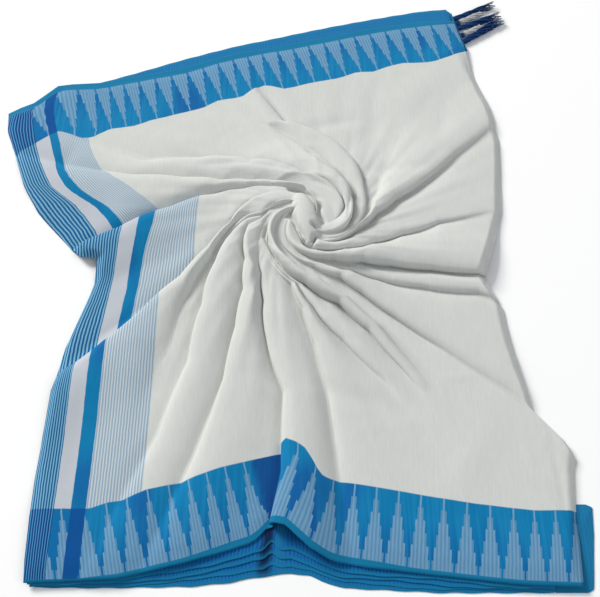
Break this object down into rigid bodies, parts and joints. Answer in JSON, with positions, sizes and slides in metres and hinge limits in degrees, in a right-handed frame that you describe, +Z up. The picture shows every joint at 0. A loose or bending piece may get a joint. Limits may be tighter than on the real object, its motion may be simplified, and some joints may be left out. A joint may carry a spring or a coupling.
{
  "type": "folded saree",
  "caption": "White cotton saree with blue temple borders, folded flat and twisted into a rosette at its middle, with lower leaves' edges and end tassels showing.",
  "frame": {"origin": "centre of the outline's box, on the plane that the folded saree rests on", "axes": "+X along the folded leaf from the decorated end towards its turned edge, +Y across the cloth's width towards the upper border, +Z up, out of the pile"},
  "size_m": [0.9198, 1.0997, 0.0494],
  "materials": {
    "white_cotton": "matte",
    "blue_border": "matte",
    "tassel_yarn": "matte"
  },
  "bodies": {
    "root": {"top_leaf": "white_cotton", "inner_layers": "white_cotton", "lower_leaf_1": "blue_border", "lower_leaf_2": "blue_border", "lower_leaf_3": "blue_border", "lower_leaf_4": "blue_border", "upper_leaf": "blue_border", "corner_leaf": "blue_border", "tassels": "tassel_yarn"}
  },
  "joints": []
}
